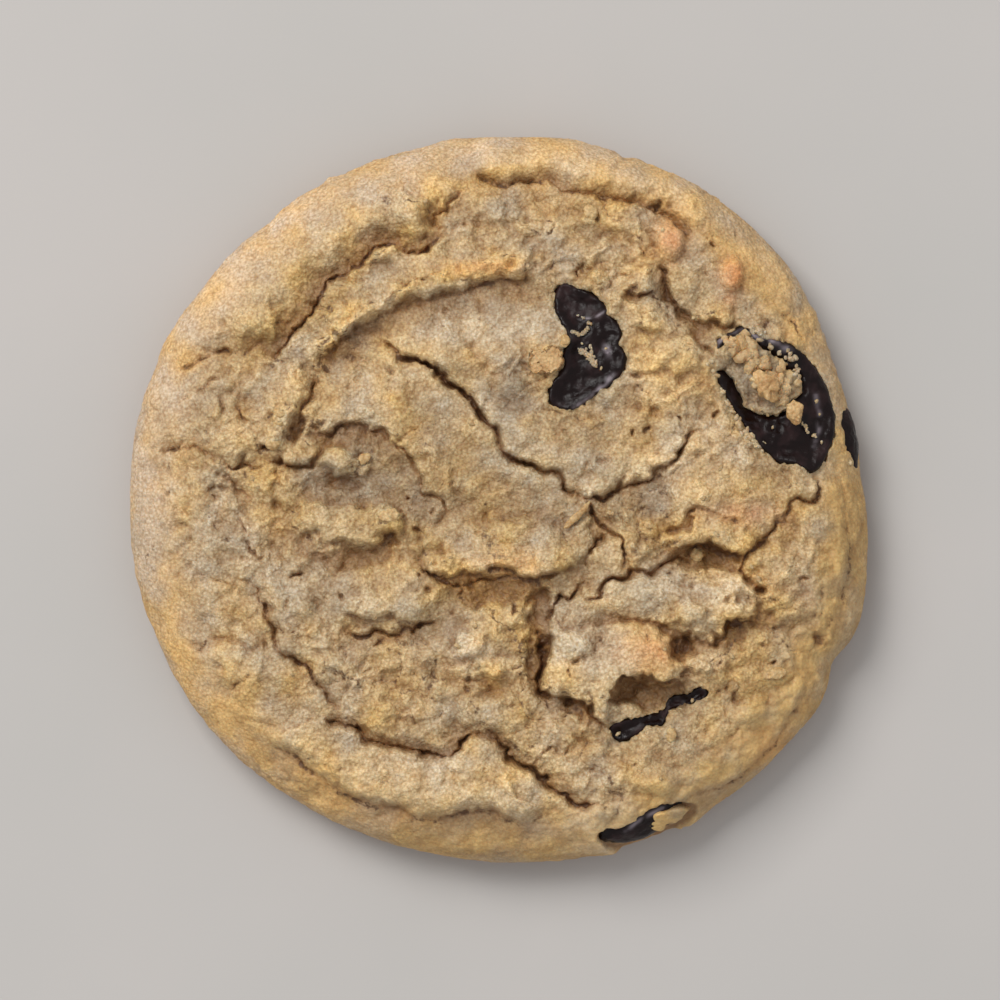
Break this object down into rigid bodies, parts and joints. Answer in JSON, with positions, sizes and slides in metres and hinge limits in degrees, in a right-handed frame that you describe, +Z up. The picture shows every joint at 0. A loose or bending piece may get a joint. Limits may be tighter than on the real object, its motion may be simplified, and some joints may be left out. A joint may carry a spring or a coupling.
{
  "type": "chocolate chip cookie",
  "caption": "Round soft-baked cookie with a cracked, wrinkled top and chunks of dark chocolate set into its crust and side.",
  "frame": {"origin": "middle of the flat underside, at the middle of the cookie's box", "axes": "+Z up through the cookie's thickness, +Y towards its far edge, +X to the right of someone who looks down on it with +Y away from them"},
  "size_m": [0.0902, 0.0886, 0.014],
  "materials": {
    "dough": "baked dough, matt and sandy",
    "chocolate": "dark chocolate, half matt"
  },
  "bodies": {
    "root": {"dough": "dough", "chocolate_upper": "chocolate", "chocolate_right": "chocolate", "chocolate_lower": "chocolate", "chocolate_side": "chocolate", "chocolate_rim": "chocolate"}
  },
  "joints": []
}
